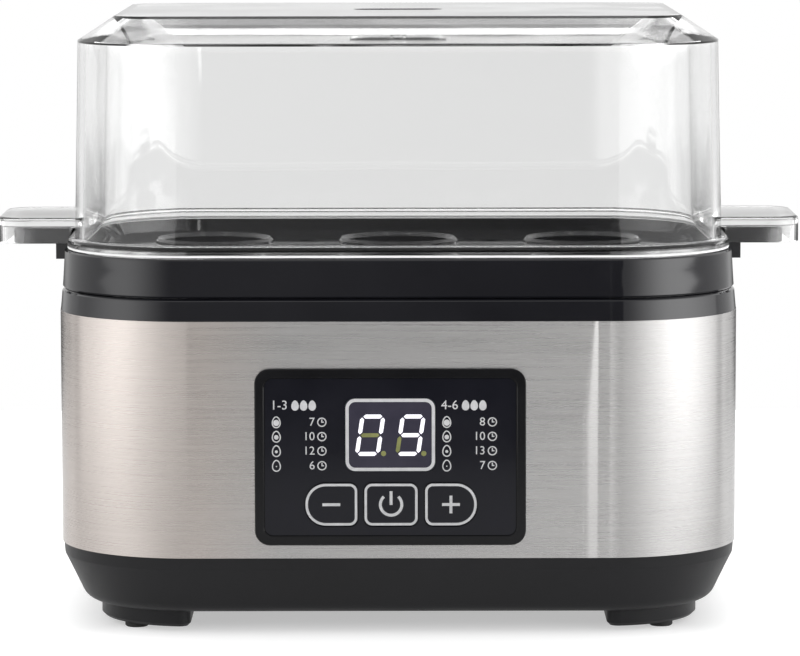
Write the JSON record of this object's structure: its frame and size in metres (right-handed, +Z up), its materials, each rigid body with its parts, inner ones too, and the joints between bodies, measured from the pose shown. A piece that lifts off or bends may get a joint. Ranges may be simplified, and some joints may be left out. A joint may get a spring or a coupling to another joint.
{
  "type": "electric egg cooker",
  "caption": "Electric egg cooker: brushed steel base with control panel and water dish, lift-out egg tray with end handles, clear lift-off lid with grips and steam vent.",
  "frame": {"origin": "middle of the footprint, on the surface that the rubber pads stand on", "axes": "+Z up, +X towards the right-hand grip as seen from the control panel, -Y towards the control panel"},
  "size_m": [0.252, 0.15, 0.1885],
  "materials": {
    "housing_plastic": "fine moulded texture, dark grey",
    "steel": "brushed along its length, satin",
    "gloss_black": "polished mould finish, black",
    "pad_rubber": "soft, matt",
    "clear_plastic": "clear moulded plastic, polished",
    "dish_metal": "satin non-stick coat",
    "heater_metal": "heat-dulled tube",
    "zinc": "zinc plated",
    "silicone": "translucent white silicone",
    "panel_black": "satin black frame",
    "fascia_black": "gloss black film over plastic",
    "display_tint": "dark tinted window",
    "component_black": "moulded component case",
    "relay_blue": "blue relay case",
    "board_green": "green solder mask",
    "terminal_white": "white terminal block"
  },
  "bodies": {
    "base": {"lower_housing": "housing_plastic", "base_cover": "housing_plastic", "foot_pads": "pad_rubber", "cover_screws": "zinc", "tie_screws": "zinc", "clamp_screws": "zinc", "steel_band": "steel", "seam_strip": "steel", "upper_ring": "gloss_black", "plate_seal": "silicone", "heating_plate": "dish_metal", "heating_element": "heater_metal", "clamp_bar": "zinc", "thermostat": "component_black", "thermal_fuse": "heater_metal", "fuse_clip": "zinc", "control_bezel": "panel_black", "control_fascia": "fascia_black", "display_lens": "display_tint", "display_module": "component_black", "control_board": "board_green", "board_screws": "zinc", "tact_switches": "component_black", "buzzer": "component_black", "power_board": "board_green", "relay": "relay_blue", "transformer": "component_black", "capacitor": "component_black", "terminal_block": "terminal_white", "cord_gland": "pad_rubber"},
    "tray": {"egg_tray": "gloss_black"},
    "lid": {"lid": "clear_plastic"},
    "minus_key": {"minus_button": "fascia_black"},
    "power_key": {"power_button": "fascia_black"},
    "plus_key": {"plus_button": "fascia_black"}
  },
  "joints": [
    {"name": "tray_lift", "type": "slide", "parent": "base", "child": "tray", "axis": [0, 0, 1], "range_m": [0, 0.08]},
    {"name": "lid_lift", "type": "slide", "parent": "tray", "child": "lid", "axis": [0, 0, 1], "range_m": [0, 0.12]},
    {"name": "minus_press", "type": "slide", "parent": "base", "child": "minus_key", "axis": [0, 1, 0], "range_m": [0, 0.0004], "stiffness_N_per_m": 2000, "springref_m": -0.0002},
    {"name": "power_press", "type": "slide", "parent": "base", "child": "power_key", "axis": [0, 1, 0], "range_m": [0, 0.0004], "stiffness_N_per_m": 2000, "springref_m": -0.0002},
    {"name": "plus_press", "type": "slide", "parent": "base", "child": "plus_key", "axis": [0, 1, 0], "range_m": [0, 0.0004], "stiffness_N_per_m": 2000, "springref_m": -0.0002}
  ]
}
